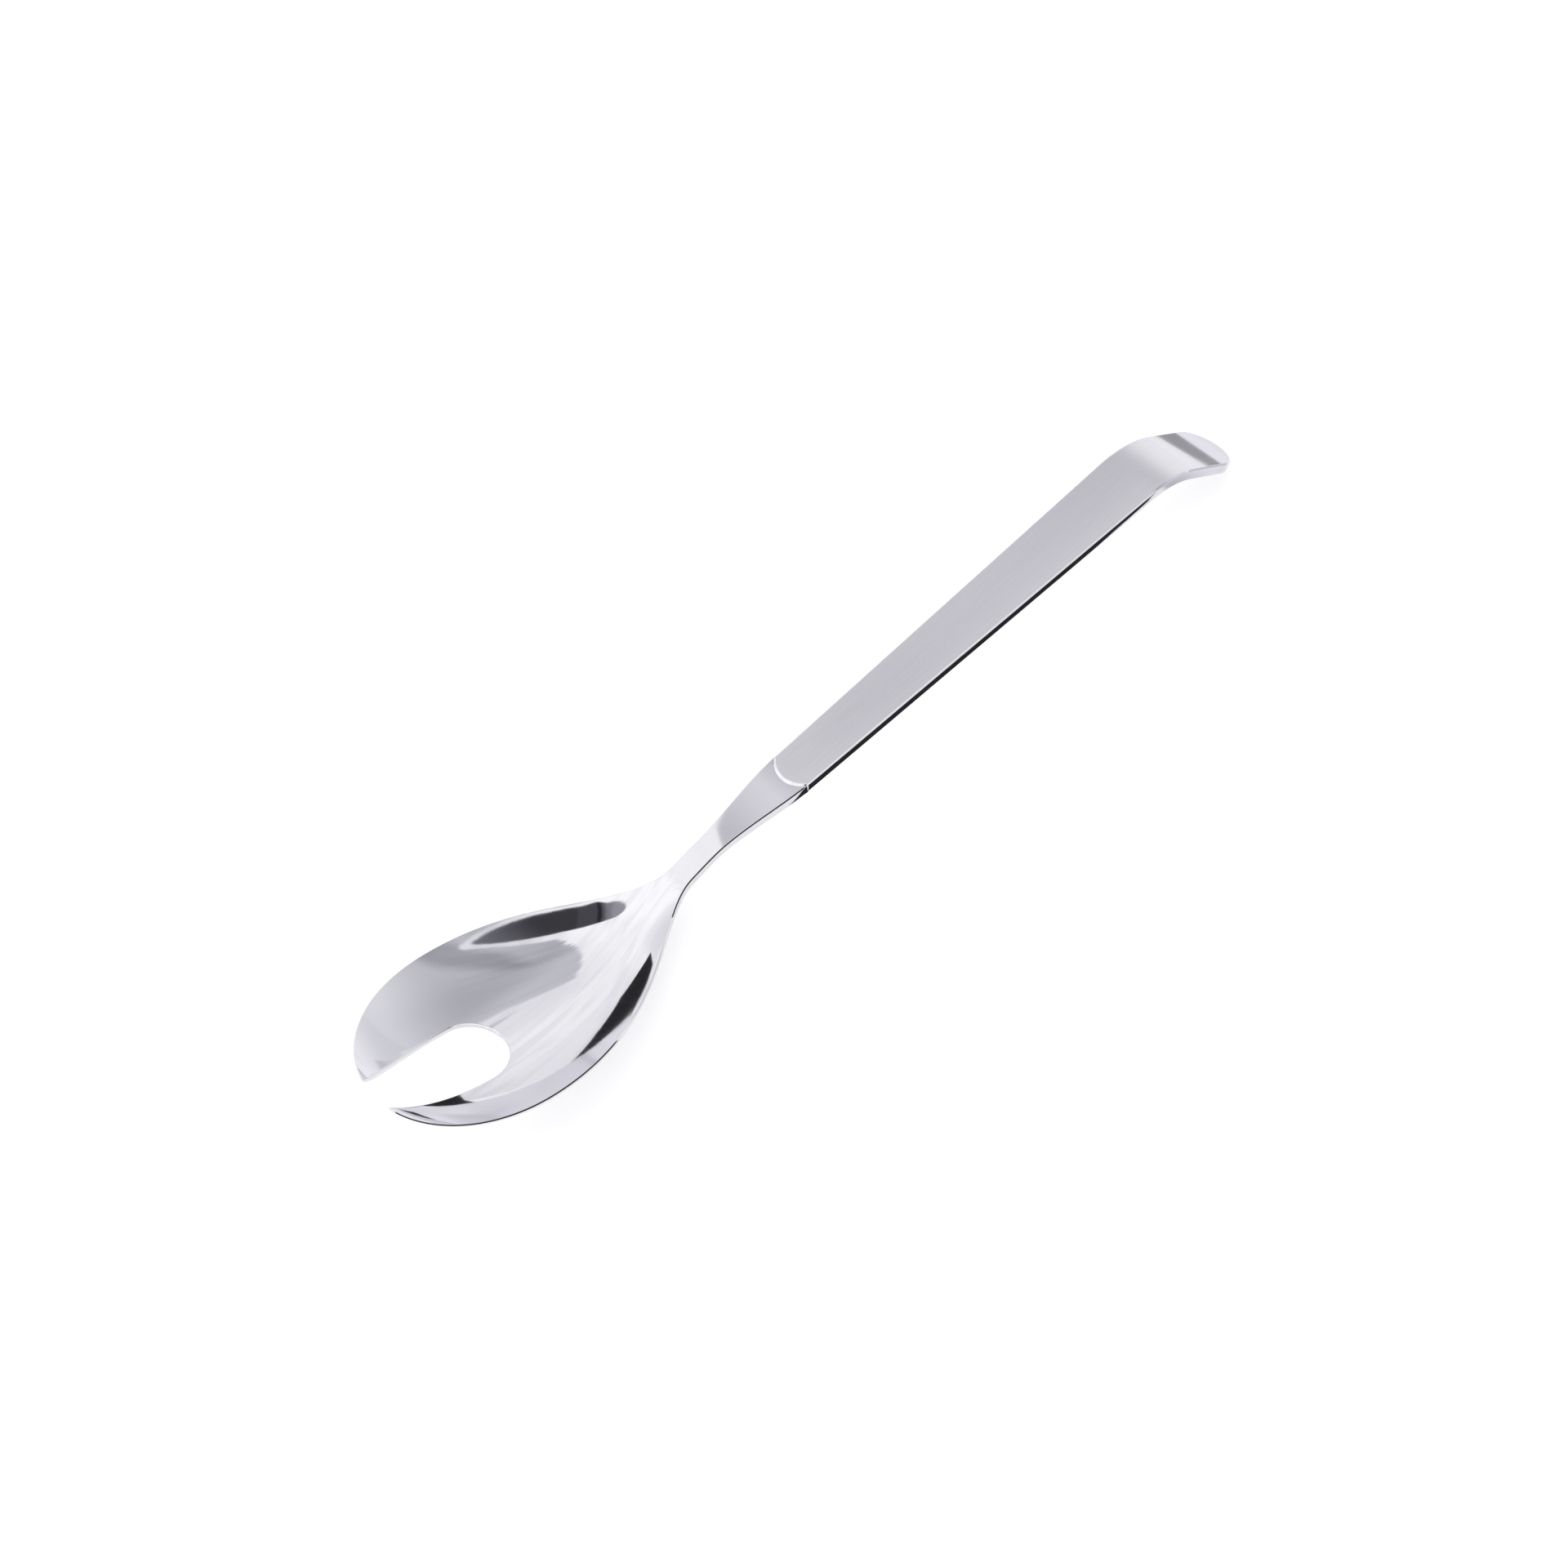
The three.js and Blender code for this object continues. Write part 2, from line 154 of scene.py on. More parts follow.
# how the fork lies: the middle of the handle's top as the record gives it, and its distance from the joint
MOUNT_ALONG = 60.0
mount = next(m for m in frame["record"]["mounts"] if m["name"] == "handle_top")
mount_axis = Vector(mount["axis"])
TILT = math.atan2(-mount_axis.x, mount_axis.z)
LAY_DOWN = (
    Matrix.Translation(Vector(mount["pos_m"]))
    @ Matrix.Rotation(-TILT, 4, "Y")
    @ Matrix.Translation(Vector((-MOUNT_ALONG / MM_PER_METRE, 0, 0)))
)

# places along the fork that follow from the sizes
NECK_BACK_X = -SHOULDER_LENGTH
NECK_FRONT_X = NECK_BACK_X - NECK_LENGTH
WIDEST_X = NECK_FRONT_X - BOWL_BACK_LENGTH
FRONT_X = WIDEST_X - BOWL_FRONT_LENGTH
RIM_DIP_X = NECK_FRONT_X - RIM_DIP_SET_FORWARD
SLOT_CENTRE_X = FRONT_X + SLOT_LENGTH - SLOT_END_RADIUS
BEND_LENGTH = BEND_RADIUS * BEND_ANGLE
HANDLE_END = HANDLE_STRAIGHT_LENGTH + BEND_LENGTH + TAIL_LENGTH
END_RADIUS = HANDLE_BACK_WIDTH / 2
END_CENTRE = HANDLE_END - END_RADIUS
JOINT_HALF_WIDTH = HANDLE_FRONT_WIDTH / 2
JOINT_RADIUS = (JOINT_HALF_WIDTH ** 2 + JOINT_ARC_RISE ** 2) / (2 * JOINT_ARC_RISE)
JOINT_CENTRE_X = JOINT_RADIUS - JOINT_ARC_RISE
SEAM_DEPTH = HANDLE_THICKNESS / 2
INSERT_TOP = SHELL_WALL + FIT_GAP
INSERT_BOTTOM = HANDLE_THICKNESS - SHELL_WALL - FIT_GAP
TANG_HALF_WIDTH = JOINT_HALF_WIDTH - SHELL_WALL - 2 * FIT_GAP - FILLER_WALL


def bezier(points, t):
    p = np.array(points, float)
    t = np.asarray(t, float)[..., None]
    return (1 - t) ** 3 * p[0] + 3 * t * (1 - t) ** 2 * p[1] + 3 * t * t * (1 - t) * p[2] + t ** 3 * p[3]


def curve_at(points, x):
    """The curve's second coordinate where its first one is x, by halving."""
    x = np.asarray(x, float)
    low = np.zeros_like(x)
    high = np.ones_like(x)
    for _ in range(HALVINGS):
        middle = (low + high) / 2
        before = bezier(points, middle)[..., 0] < x
        low = np.where(before, middle, low)
        high = np.where(before, high, middle)
    return bezier(points, low)[..., 1]


def smoothstep(value, low, high):
    t = np.clip((value - low) / (high - low), 0, 1)
    return t * t * (3 - 2 * t)


BOWL_BACK_CURVE = [
    (WIDEST_X, BOWL_WIDTH / 2),
    (WIDEST_X + BOWL_BACK_LEAD, BOWL_WIDTH / 2),
    (NECK_FRONT_X - NECK_LEAD, NECK_WIDTH / 2),
    (NECK_FRONT_X, NECK_WIDTH / 2),
]
SHOULDER_CURVE = [
    (NECK_BACK_X, NECK_WIDTH / 2),
    (NECK_BACK_X + SHOULDER_LEAD, NECK_WIDTH / 2),
    (-SHOULDER_LEAD, JOINT_HALF_WIDTH),
    (0, JOINT_HALF_WIDTH),
]
RIM_FRONT_CURVE = [
    (FRONT_X, TIP_RISE),
    (FRONT_X + TIP_LEAD, TIP_RISE - TIP_LEAD * TIP_SLOPE),
    (RIM_DIP_X - RIM_DIP_LEAD, -RIM_DIP),
    (RIM_DIP_X, -RIM_DIP),
]
RIM_BACK_CURVE = [
    (RIM_DIP_X, -RIM_DIP),
    (RIM_DIP_X + RIM_DIP_LEAD, -RIM_DIP),
    (-FLUSH_LENGTH - RISE_LEAD, 0),
    (-FLUSH_LENGTH, 0),
]


def head_half_width(x):
    x = np.asarray(x, float)
    share = np.clip((WIDEST_X - x) / BOWL_FRONT_LENGTH, 0, 1)
    front = BOWL_WIDTH / 2 * (1 - share ** BOWL_FRONT_FULLNESS) ** (1 / BOWL_FRONT_FULLNESS)
    back = curve_at(BOWL_BACK_CURVE, np.clip(x, WIDEST_X, NECK_FRONT_X))
    shoulder = curve_at(SHOULDER_CURVE, np.clip(x, NECK_BACK_X, 0))
    return np.where(x < WIDEST_X, front, np.where(x < NECK_FRONT_X, back, shoulder))


def rim_height(x):
    x = np.asarray(x, float)
    front = curve_at(RIM_FRONT_CURVE, np.clip(x, FRONT_X, RIM_DIP_X))
    back = curve_at(RIM_BACK_CURVE, np.clip(x, RIM_DIP_X, -FLUSH_LENGTH))
    return np.where(x < RIM_DIP_X, front, back)


def bowl_share(x):
    gain = (head_half_width(x) - NECK_WIDTH / 2) / (BOWL_WIDTH / 2 - NECK_WIDTH / 2)
    return np.where(np.asarray(x) < NECK_FRONT_X, np.maximum(gain, 0), 0)


def head_thickness(x, bowl, neck):
    """Bowl metal, then the neck's, then the handle's own."""
    x = np.asarray(x, float)
    thinned = np.where(x < WIDEST_X, 1, smoothstep(bowl_share(x), 0, BOWL_THINNED_AT))
    to_handle = smoothstep(x, NECK_BACK_X, -JOINT_ARC_RISE - TANG_ROOT_LENGTH)
    before = neck + (bowl - neck) * thinned
    return np.where(x < NECK_BACK_X, before, neck + (HANDLE_THICKNESS - neck) * to_handle)


def wall_rise(x, y):
    """How far a section of the head has risen from its floor: 0 in the middle, 1 at the rim."""
    square = (y / np.maximum(head_half_width(x), NECK_WIDTH / 2)) ** 2
    return square * (1 + BOWL_WALL_EASE * (1 - square))


def head_top(x, y):
    rim = rim_height(x)
    floor = rim - BOWL_DEPTH * bowl_share(x)
    return floor + (rim - floor) * wall_rise(x, y)


def head_bottom(x, y):
    rim = rim_height(x)
    under = rim - BOWL_DEPTH * bowl_share(x) - head_thickness(x, BOWL_THICKNESS, NECK_THICKNESS)
    rim_under = rim - head_thickness(x, RIM_THICKNESS, NECK_EDGE_THICKNESS)
    return under + (rim_under - under) * wall_rise(x, y)


def head_top_eased(x, y):
    """The head's top with the two points beside the joint dipped into the handle's chamfers."""
    from_ear = np.hypot(x, np.abs(y) - JOINT_HALF_WIDTH)
    return head_top(x, y) - EAR_DROP * np.clip(1 - from_ear / EAR_TAPER, 0, 1) ** 2


def slope_normals(height, x, y, up):
    """Unit normals of a height field, from its slope over a short step each way."""
    dx = (height(x + SLOPE_STEP, y) - height(x - SLOPE_STEP, y)) / (2 * SLOPE_STEP)
    dy = (height(x, y + SLOPE_STEP) - height(x, y - SLOPE_STEP)) / (2 * SLOPE_STEP)
    n = np.stack([-dx, -dy, np.ones_like(dx)], -1) * up
    return n / np.linalg.norm(n, axis=-1, keepdims=True)


def unit(v):
    return v / np.maximum(np.linalg.norm(v, axis=-1, keepdims=True), LEAST_LENGTH)


def rounded_loop(paths, reaches, step):
    """A closed outline from open paths that meet end to start, each meeting corner rounded over its reach."""
    pieces = []
    for k, path in enumerate(paths):
        path = np.array(path, float)
        run = np.concatenate([[0], np.cumsum(np.linalg.norm(np.diff(path, axis=0), axis=1))])
        start = reaches[k]
        end = run[-1] - reaches[(k + 1) % len(paths)]
        count = max(int(round((end - start) / step)), 2)
        at = np.linspace(start, end, count + 1)
        pieces.append(np.stack([np.interp(at, run, path[:, i]) for i in range(2)], -1))
    loop = []
    for k, piece in enumerate(pieces):
        loop.extend(piece)
        following = pieces[(k + 1) % len(pieces)]
        corner = np.array(paths[k][-1], float)
        for t in np.linspace(0, 1, CORNER_POINTS)[1:-1]:
            loop.append((1 - t) ** 2 * piece[-1] + 2 * t * (1 - t) * corner + t * t * following[0])
    return np.array(loop)


def outward(loop):
    """Unit normals in plan of an outline that runs anticlockwise."""
    along = unit(np.roll(loop, -1, 0) - np.roll(loop, 1, 0))
    return np.stack([along[:, 1], -along[:, 0]], -1)


def inside(points, loop):
    hit = np.zeros(len(points), bool)
    for a, b in zip(loop, np.roll(loop, -1, 0)):
        if a[1] == b[1]:
            continue
        crosses = (a[1] > points[:, 1]) != (b[1] > points[:, 1])
        at = a[0] + (points[:, 1] - a[1]) * (b[0] - a[0]) / (b[1] - a[1])
        hit ^= crosses & (points[:, 0] < at)
    return hit


def fill(loop, grid):
    """Triangles over an outline: the points, outline first, and the corner numbers of each triangle."""
    low = loop.min(0)
    high = loop.max(0)
    rows = np.arange(low[1] + grid / 2, high[1], grid * math.sqrt(3) / 2)
    spots = []
    for number, y in enumerate(rows):
        shift = grid / 2 if number % 2 else 0
        xs = np.arange(low[0] + shift, high[0], grid)
        spots.append(np.stack([xs, np.full_like(xs, y)], -1))
    spots = np.concatenate(spots)
    spots = spots[inside(spots, loop)]
    gap = np.array([np.min(np.sum((loop - s) ** 2, axis=1)) for s in spots])
    spots = spots[gap > (GRID_EDGE_SHARE * grid) ** 2]
    points = np.concatenate([loop, spots])
    flat = [Vector(p) for p in points]
    made = delaunay_2d_cdt(flat, [], [list(range(len(loop)))], 1, MERGE_DISTANCE)
    return np.array([tuple(v) for v in made[0]]), made[2]


class Skin:
    """Collects faces with their own corner normals and brush coordinates, and joins equal points."""

    def __init__(self):
        self.points = []
        self.numbers = {}
        self.faces = []
        self.normals = []
        self.brush = []
        self.finishes = []

    def number(self, point):
        key = tuple(int(round(c * WELD_PER_MM)) for c in point)
        if key not in self.numbers:
            self.numbers[key] = len(self.points)
            self.points.append(tuple(point))
        return self.numbers[key]

    def face(self, points, normals, brush, finish=FACE_FINISH):
        ring = []
        for point, normal, spot in zip(points, normals, brush):
            n = self.number(point)
            if not any(n == other[0] for other in ring):
                ring.append((n, normal, spot))
        if len(ring) < 3:
            return
        self.faces.append([r[0] for r in ring])
        self.finishes.append(finish)
        self.normals.extend(tuple(r[1]) for r in ring)
        self.brush.extend(tuple(r[2]) for r in ring)

    def strip(self, rows, closed, first=None, last=None, brush=None, finish=FACE_FINISH):
        """A smooth band between rows of points. The first and last rows may be given their normals."""
        rows = np.array(rows, float)
        if closed:
            along = np.roll(rows, -1, 1) - np.roll(rows, 1, 1)
        else:
            along = np.gradient(rows, axis=1)
        down = np.gradient(rows, axis=0)
        normals = unit(np.cross(along, down)) * -1
        if first is not None:
            normals[0] = first
        if last is not None:
            normals[-1] = last
        count = rows.shape[1]
        for r in range(len(rows) - 1):
            for c in range(count if closed else count - 1):
                d = (c + 1) % count
                spots = [(r, c), (r + 1, c), (r + 1, d), (r, d)]
                self.face(
                    [rows[s] for s in spots],
                    [normals[s] for s in spots],
                    [brush[s[1]] for s in spots],
                    finish,
                )

    def cap(self, points, normals, triangles, brush, up):
        for t in triangles:
            order = list(t) if up else list(reversed(t))
            self.face([points[i] for i in order], [normals[i] for i in order], [brush[i] for i in order])

    def build(self, name):
        mesh = bpy.data.meshes.new(name)
        laid = [LAY_DOWN @ Vector([c / MM_PER_METRE for c in p]) for p in self.points]
        laid = [(p.x, p.y, max(p.z, 0.0)) for p in laid]
        mesh.from_pydata(laid, [], self.faces)
        mesh.shade_smooth()
        mesh.polygons.foreach_set("material_index", self.finishes)
        layer = mesh.uv_layers.new(name="brush")
        layer.data.foreach_set("uv", [c / MM_PER_METRE for spot in self.brush for c in spot])
        turn = LAY_DOWN.to_3x3()
        mesh.normals_split_custom_set([(turn @ Vector(n)).normalized() for n in self.normals])
        made = bpy.data.objects.new(name, mesh)
        bpy.context.scene.collection.objects.link(made)
        return made


def slot_half_width(x):
    bow = SLOT_SIDE_RADIUS - np.sqrt(SLOT_SIDE_RADIUS ** 2 - (np.asarray(x, float) - SLOT_CENTRE_X) ** 2)
    return SLOT_END_RADIUS - bow


def tine_point_x():
    """Where the slot's side meets the rim."""
    low = FRONT_X
    high = WIDEST_X
    for _ in range(HALVINGS):
        middle = (low + high) / 2
        if head_half_width(middle) < slot_half_width(middle):
            low = middle
        else:
            high = middle
    return low


def joint_arc(radius):
    """Points of the joint's arc from the near side to the far side, out to the handle's width."""
    sweep = math.asin(min(JOINT_HALF_WIDTH / radius, 1))
    turns = np.linspace(-sweep, sweep, ARC_POINTS)
    return np.stack([JOINT_CENTRE_X - radius * np.cos(turns), radius * np.sin(turns)], -1)


def on_joint_arc(points, radius):
    return np.abs(np.hypot(points[:, 0] - JOINT_CENTRE_X, points[:, 1]) - radius) < ON_ARC


def mirrored(path):
    path = np.array(path, float)
    return (path * np.array([1, -1]))[::-1]


def head_outline():
    tip = tine_point_x()
    arc = joint_arc(JOINT_RADIUS + JOINT_GAP)
    start = math.asin(((WIDEST_X - tip) / BOWL_FRONT_LENGTH) ** (BOWL_FRONT_FULLNESS / 2))
    turns = np.linspace(0, start, RIM_FRONT_POINTS)
    front_x = WIDEST_X - BOWL_FRONT_LENGTH * np.sin(turns) ** (2 / BOWL_FRONT_FULLNESS)
    rim_x = np.concatenate([np.linspace(arc[-1][0], WIDEST_X, RIM_BACK_POINTS), front_x[1:]])
    rim = np.stack([rim_x, head_half_width(rim_x)], -1)
    slot_x = np.linspace(tip, SLOT_CENTRE_X, SLOT_SIDE_POINTS)
    turns = np.linspace(math.pi / 2, 0, SLOT_ROOT_POINTS)
    root_x = SLOT_CENTRE_X + SLOT_END_RADIUS * np.cos(turns)
    root = np.stack([root_x, SLOT_END_RADIUS * np.sin(turns)], -1)
    side = np.stack([slot_x, slot_half_width(slot_x)], -1)
    half = np.concatenate([side, root[1:]])
    slot = np.concatenate([half, mirrored(half)[1:]])
    reaches = [EAR_POINT_ROUND, TINE_POINT_ROUND, TINE_POINT_ROUND, EAR_POINT_ROUND]
    return rounded_loop([rim, slot, mirrored(rim), arc], reaches, LOOP_STEP)


def eased(values):
    """Values round a closed outline, each evened out over its neighbours."""
    shifts = range(-EASE_NEIGHBOURS, EASE_NEIGHBOURS + 1)
    return np.mean([np.roll(values, shift, 0) for shift in shifts], axis=0)


def chamfer_rows(sizes):
    """How far in and how deep each row of points down a chamfer lies, from face to wall, creases rounded."""
    inward = sizes[:, 0]
    down = sizes[:, 1]
    zero = np.zeros_like(down)
    length = np.hypot(inward, down)
    soft = np.minimum(CREASE_ROUND, CREASE_SHARE * length)[:, None]
    slope = np.stack([-inward, down], -1) / length[:, None]
    face = np.stack([inward, zero], -1)
    wall = np.stack([zero, down], -1)
    bends = (
        (face + soft * (1, 0), face, face + soft * slope),
        (wall - soft * slope, wall, wall + soft * (0, 1)),
    )
    rows = []
    for start, crease, end in bends:
        for t in np.linspace(0, 1, CREASE_POINTS):
            rows.append((1 - t) ** 2 * start + 2 * t * (1 - t) * crease + t * t * end)
    return np.array(rows)


def rounding(edge, flat, wall):
    """Rows of points that round off the sharp edge between a flat side's points and a wall's points."""
    rows = []
    for t in np.linspace(0, 1, ROUND_STEPS + 1):
        rows.append((1 - t) ** 2 * flat + 2 * t * (1 - t) * edge + t * t * wall)
    return rows


def head_skin():
    skin = Skin()
    loop = head_outline()
    out = outward(loop)
    near_joint = (loop[:, 0] > JOINT_BAND[0]) & (loop[:, 0] < JOINT_BAND[1])
    at_joint = near_joint & on_joint_arc(loop, JOINT_RADIUS + JOINT_GAP)
    past_centre = np.maximum(loop[:, 0] - SLOT_CENTRE_X, 0)
    side_reach = slot_half_width(np.minimum(loop[:, 0], SLOT_CENTRE_X))
    slot_reach = np.where(past_centre > 0, SLOT_END_RADIUS, side_reach)
    at_slot = np.hypot(past_centre, loop[:, 1]) < slot_reach + ON_SLOT
    free_edge = np.where(at_slot[:, None], SLOT_CHAMFER, RIM_CHAMFER)
    sizes = np.where(at_joint[:, None], NECK_END_CHAMFER, free_edge)
    from_ear = np.hypot(loop[:, 0], np.abs(loop[:, 1]) - JOINT_HALF_WIDTH)
    ear_share = np.clip(from_ear / EAR_TAPER, EAR_SHARE_LEAST, 1)[:, None]
    steps = chamfer_rows(eased(sizes) * ear_share)
    top_loop = loop - out * steps[0, :, :1]
    under = UNDER_ROUND * ear_share
    under_loop = loop - out * under

    def lifted(plan, z):
        return np.concatenate([plan, np.asarray(z)[:, None]], -1)

    top_z = head_top_eased(top_loop[:, 0], top_loop[:, 1])
    chamfer = [lifted(loop - out * row[:, :1], top_z - row[:, 1]) for row in steps]
    under_z = head_bottom(loop[:, 0], loop[:, 1])
    low_wall = lifted(loop, under_z + under[:, 0])
    low_edge = lifted(loop, under_z)
    low_flat = lifted(under_loop, head_bottom(under_loop[:, 0], under_loop[:, 1]))
    rows = chamfer + rounding(low_edge, low_wall, low_flat)
    first = slope_normals(head_top_eased, top_loop[:, 0], top_loop[:, 1], 1)
    last = slope_normals(head_bottom, under_loop[:, 0], under_loop[:, 1], -1)
    skin.strip(rows, True, first, last, loop)

    points, triangles = fill(top_loop, BOWL_GRID)
    top = lifted(points, head_top_eased(points[:, 0], points[:, 1]))
    skin.cap(top, slope_normals(head_top_eased, points[:, 0], points[:, 1], 1), triangles, points, True)
    points, triangles = fill(under_loop, BOWL_GRID)
    bottom = lifted(points, head_bottom(points[:, 0], points[:, 1]))
    skin.cap(bottom, slope_normals(head_bottom, points[:, 0], points[:, 1], -1), triangles, points, False)
    tang_skin(skin)
    return skin


def tang_skin(skin):
    """The flat tang that runs from inside the neck into the handle."""
    end = TANG_LENGTH - TANG_HALF_WIDTH
    root = -JOINT_ARC_RISE - TANG_ROOT_LENGTH
    turns = np.linspace(-math.pi / 2, math.pi / 2, TANG_END_POINTS)
    tip = np.stack([end + TANG_HALF_WIDTH * np.cos(turns), TANG_HALF_WIDTH * np.sin(turns)], -1)
    loop = np.concatenate([[(root, -TANG_HALF_WIDTH)], tip, [(root, TANG_HALF_WIDTH)]])
    upper = np.concatenate([loop, np.full((len(loop), 1), -INSERT_TOP)], -1)
    lower = np.concatenate([loop, np.full((len(loop), 1), -INSERT_BOTTOM)], -1)
    skin.strip([upper, lower], True, brush=loop)
    up = np.tile((0.0, 0.0, 1.0), (len(loop), 1))
    skin.face(upper, up, loop)
    skin.face(lower[::-1], -up, loop[::-1])


def handle_half_width(along):
    share = np.clip(np.asarray(along, float) / HANDLE_STRAIGHT_LENGTH, 0, 1)
    return (HANDLE_FRONT_WIDTH + (HANDLE_BACK_WIDTH - HANDLE_FRONT_WIDTH) * share) / 2


def handle_outline():
    arc = joint_arc(JOINT_RADIUS)
    side_x = np.linspace(0, END_CENTRE, HANDLE_SIDE_POINTS)
    near = np.stack([side_x, -handle_half_width(side_x)], -1)
    turns = np.linspace(-math.pi / 2, math.pi / 2, HANDLE_END_POINTS)
    end = np.stack([END_CENTRE + END_RADIUS * np.cos(turns), END_RADIUS * np.sin(turns)], -1)
    sides = np.concatenate([near, end[1:-1], mirrored(near)])
    return rounded_loop([sides, arc[::-1]], [JOINT_CORNER_ROUND, JOINT_CORNER_ROUND], LOOP_STEP)


def handle_place(plan, depth):
    """Points along and across the handle's top and a depth below it, carried round the bend."""
    along = plan[:, 0]
    straight = np.minimum(along, HANDLE_STRAIGHT_LENGTH)
    past = along - straight
    angle = np.minimum(past / BEND_RADIUS, BEND_ANGLE)
    tail = np.maximum(past - BEND_LENGTH, 0)
    radius = BEND_RADIUS - depth
    x = straight + radius * np.sin(angle) + tail * np.cos(angle)
    z = radius * np.cos(angle) - BEND_RADIUS - tail * np.sin(angle)
    return np.stack([x, plan[:, 1], z], -1)


def handle_up(plan):
    angle = np.clip((plan[:, 0] - HANDLE_STRAIGHT_LENGTH) / BEND_RADIUS, 0, BEND_ANGLE)
    return np.stack([np.sin(angle), np.zeros_like(angle), np.cos(angle)], -1)


def handle_shell_skin(upper):
    """One half of the hollow handle: its outside, the lip at the seam, and the hollow inside."""
    skin = Skin()
    loop = handle_outline()
    out = outward(loop)
    front = on_joint_arc(loop, JOINT_RADIUS) & (loop[:, 0] < 0)

    def depth_of(d):
        return d if upper else HANDLE_THICKNESS - d

    def placed(inset, depth):
        return handle_place(loop - out * np.asarray(inset)[:, None], depth_of(np.asarray(depth)))

    size = len(loop)
    zero = np.zeros(size)
    if upper:
        narrowing = 1 - FRONT_CHAMFER_TAPER * (loop[:, 1:] / JOINT_HALF_WIDTH) ** 2
        sizes = np.where(front[:, None], np.array(HANDLE_FRONT_CHAMFER) * narrowing, HANDLE_CHAMFER)
        steps = chamfer_rows(eased(sizes))
        face_in = steps[0, :, 0]
        rows = [placed(row[:, 0], row[:, 1]) for row in steps]
    else:
        face_in = np.full(size, UNDER_ROUND)
        rows = rounding(placed(zero, zero), placed(face_in, zero), placed(zero, face_in))
    face_plan = loop - out * face_in[:, None]
    lip_depth = np.where(front, SHELL_WALL, SEAM_DEPTH - SEAM_GAP / 2)
    lip_in = np.where(front, 0, SHELL_WALL)
    lip = placed(zero, lip_depth)
    inner_lip = placed(lip_in, lip_depth)
    inner = placed(lip_in, np.full(size, SHELL_WALL))
    up = handle_up(face_plan) * (1 if upper else -1)
    rows = rows + [lip]
    inner_plan = loop - out * lip_in[:, None]
    if not upper:
        skin_rows = [r[::-1] for r in rows]
        skin.strip(skin_rows, True, up[::-1], None, loop[::-1])
        skin.strip([lip[::-1], inner_lip[::-1]], True, brush=loop[::-1])
        skin.strip([inner_lip[::-1], inner[::-1]], True, brush=loop[::-1])
    else:
        skin.strip(rows, True, up, None, loop, EDGE_FINISH)
        skin.strip([lip, inner_lip], True, brush=loop, finish=EDGE_FINISH)
        skin.strip([inner_lip, inner], True, brush=loop, finish=EDGE_FINISH)
    points, triangles = fill(face_plan, HANDLE_GRID)
    top = handle_place(points, depth_of(np.zeros(len(points))))
    skin.cap(top, handle_up(points) * (1 if upper else -1), triangles, points, upper)
    points, triangles = fill(inner_plan, INNER_GRID)
    roof = handle_place(points, depth_of(np.full(len(points), SHELL_WALL)))
    skin.cap(roof, handle_up(points) * (-1 if upper else 1), triangles, points, not upper)
    return skin


# materials
def new_material(name):
    made = bpy.data.materials.new(name)
    made.use_nodes = True
    return made, made.node_tree.nodes, made.node_tree.links


class Formula:
    """Writes sums, products and ramps as nodes of one tree."""

    def __init__(self, tree):
        self.nodes = tree.nodes
        self.links = tree.links

    def feed(self, socket, value):
        if isinstance(value, (int, float)):
            socket.default_value = value
        else:
            self.links.new(value, socket)

    def math(self, operation, *values):
        made = self.nodes.new("ShaderNodeMath")
        made.operation = operation
        for socket, value in zip(made.inputs, values):
            self.feed(socket, value)
        return made.outputs[0]

    def total(self, first, *others):
        for other in others:
            first = self.math("ADD", first, other)
        return first

    def product(self, first, *others):
        for other in others:
            first = self.math("MULTIPLY", first, other)
        return first

    def mix(self, share, low, high):
        """low where the share is 0, high where it is 1."""
        return self.total(low, self.product(share, self.math("SUBTRACT", high, low)))

    def ease(self, value, start, end, out_start=0.0, out_end=1.0):
        """A smooth step from out_start to out_end."""
        made = self.nodes.new("ShaderNodeMapRange")
        made.interpolation_type = "SMOOTHSTEP"
        made.inputs["From Min"].default_value = start
        made.inputs["From Max"].default_value = end
        made.inputs["To Min"].default_value = out_start
        made.inputs["To Max"].default_value = out_end
        self.links.new(value, made.inputs["Value"])
        return made.outputs["Result"]

    def split(self, vector):
        made = self.nodes.new("ShaderNodeSeparateXYZ")
        self.links.new(vector, made.inputs[0])
        return made.outputs


